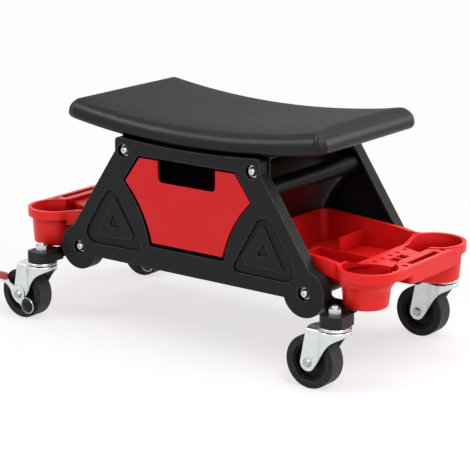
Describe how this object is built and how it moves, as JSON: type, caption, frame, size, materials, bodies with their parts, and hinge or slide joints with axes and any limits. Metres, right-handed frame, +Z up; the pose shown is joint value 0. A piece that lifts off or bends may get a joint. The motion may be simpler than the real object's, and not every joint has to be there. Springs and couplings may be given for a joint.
{
  "type": "creeper seat",
  "caption": "Rolling workshop seat: a bowed padded top on two cast side panels, with a drawer through the middle, sliding tool trays at the ends and swivel casters.",
  "frame": {"origin": "on the floor under the middle of the seat", "axes": "+X along the seat, +Y away from the drawer front, +Z up"},
  "size_m": [0.6667, 0.3371, 0.3497],
  "materials": {
    "panel_plastic": "satin grained black",
    "frame_steel": "satin black powder coat",
    "red_plastic": "satin moulded red",
    "zinc": "bright zinc plated",
    "seat_vinyl": "grained black vinyl over foam",
    "seat_board": "moulded black board",
    "tyre_rubber": "smooth black rubber",
    "wheel_plastic": "satin moulded black",
    "pad_plastic": "moulded red"
  },
  "bodies": {
    "frame": {"side_panel_front": "panel_plastic", "side_panel_rear": "panel_plastic", "seat_board": "seat_board", "seat_cushion": "seat_vinyl", "upper_tube_left": "frame_steel", "tie_bar_left": "frame_steel", "rail_left": "frame_steel", "seat_strap_left": "frame_steel", "upper_tube_right": "frame_steel", "tie_bar_right": "frame_steel", "rail_right": "frame_steel", "seat_strap_right": "frame_steel", "seat_bolt_front_left": "zinc", "arm_bolt_front_left": "zinc", "seat_screw_front_left": "zinc", "caster_arm_front_left": "frame_steel", "caster_front_left_stem": "zinc", "caster_front_left_nut": "zinc", "seat_bolt_rear_left": "zinc", "arm_bolt_rear_left": "zinc", "seat_screw_rear_left": "zinc", "caster_arm_rear_left": "frame_steel", "caster_rear_left_stem": "zinc", "caster_rear_left_nut": "zinc", "seat_bolt_front_right": "zinc", "arm_bolt_front_right": "zinc", "seat_screw_front_right": "zinc", "caster_arm_front_right": "frame_steel", "caster_front_right_stem": "zinc", "caster_front_right_nut": "zinc", "seat_bolt_rear_right": "zinc", "arm_bolt_rear_right": "zinc", "seat_screw_rear_right": "zinc", "caster_arm_rear_right": "frame_steel", "caster_rear_right_stem": "zinc", "caster_rear_right_nut": "zinc"},
    "drawer": {"drawer": "red_plastic"},
    "tray_left": {"tray_left": "red_plastic"},
    "tray_right": {"tray_right": "red_plastic"},
    "swivel_front_left": {"caster_front_left_fork": "zinc", "caster_front_left_axle": "zinc"},
    "wheel_front_left": {"caster_front_left_core": "wheel_plastic", "caster_front_left_tyre": "tyre_rubber"},
    "brake_front_left": {"caster_front_left_brake_lever": "zinc", "caster_front_left_brake_pad": "pad_plastic"},
    "swivel_rear_left": {"caster_rear_left_fork": "zinc", "caster_rear_left_axle": "zinc"},
    "wheel_rear_left": {"caster_rear_left_core": "wheel_plastic", "caster_rear_left_tyre": "tyre_rubber"},
    "brake_rear_left": {"caster_rear_left_brake_lever": "zinc", "caster_rear_left_brake_pad": "pad_plastic"},
    "swivel_front_right": {"caster_front_right_fork": "zinc", "caster_front_right_axle": "zinc"},
    "wheel_front_right": {"caster_front_right_core": "wheel_plastic", "caster_front_right_tyre": "tyre_rubber"},
    "swivel_rear_right": {"caster_rear_right_fork": "zinc", "caster_rear_right_axle": "zinc"},
    "wheel_rear_right": {"caster_rear_right_core": "wheel_plastic", "caster_rear_right_tyre": "tyre_rubber"}
  },
  "joints": [
    {"name": "drawer_slide", "type": "slide", "parent": "frame", "child": "drawer", "axis": [0, -1, 0], "range_m": [0, 0.175]},
    {"name": "tray_left_slide", "type": "slide", "parent": "frame", "child": "tray_left", "axis": [-1, 0, 0], "range_m": [0, 0.09]},
    {"name": "tray_right_slide", "type": "slide", "parent": "frame", "child": "tray_right", "axis": [1, 0, 0], "range_m": [0, 0.09]},
    {"name": "swivel_front_left_turn", "type": "hinge", "parent": "frame", "child": "swivel_front_left", "pos_m": [-0.267, -0.143, 0.0841], "axis": [0, 0, 1], "continuous": true},
    {"name": "wheel_front_left_roll", "type": "hinge", "parent": "swivel_front_left", "child": "wheel_front_left", "pos_m": [-0.299, -0.143, 0.0382], "axis": [0, 1, 0], "continuous": true},
    {"name": "brake_front_left_rock", "type": "hinge", "parent": "swivel_front_left", "child": "brake_front_left", "pos_m": [-0.299, -0.143, 0.0382], "axis": [0, 1, 0], "range_deg": [-12, 0]},
    {"name": "swivel_rear_left_turn", "type": "hinge", "parent": "frame", "child": "swivel_rear_left", "pos_m": [-0.267, 0.143, 0.0841], "axis": [0, 0, 1], "continuous": true},
    {"name": "wheel_rear_left_roll", "type": "hinge", "parent": "swivel_rear_left", "child": "wheel_rear_left", "pos_m": [-0.299, 0.143, 0.0382], "axis": [0, 1, 0], "continuous": true},
    {"name": "brake_rear_left_rock", "type": "hinge", "parent": "swivel_rear_left", "child": "brake_rear_left", "pos_m": [-0.299, 0.143, 0.0382], "axis": [0, 1, 0], "range_deg": [-12, 0]},
    {"name": "swivel_front_right_turn", "type": "hinge", "parent": "frame", "child": "swivel_front_right", "pos_m": [0.267, -0.143, 0.0841], "axis": [0, 0, 1], "continuous": true},
    {"name": "wheel_front_right_roll", "type": "hinge", "parent": "swivel_front_right", "child": "wheel_front_right", "pos_m": [0.235, -0.143, 0.0382], "axis": [0, 1, 0], "continuous": true},
    {"name": "swivel_rear_right_turn", "type": "hinge", "parent": "frame", "child": "swivel_rear_right", "pos_m": [0.267, 0.143, 0.0841], "axis": [0, 0, 1], "continuous": true},
    {"name": "wheel_rear_right_roll", "type": "hinge", "parent": "swivel_rear_right", "child": "wheel_rear_right", "pos_m": [0.235, 0.143, 0.0382], "axis": [0, 1, 0], "continuous": true}
  ]
}
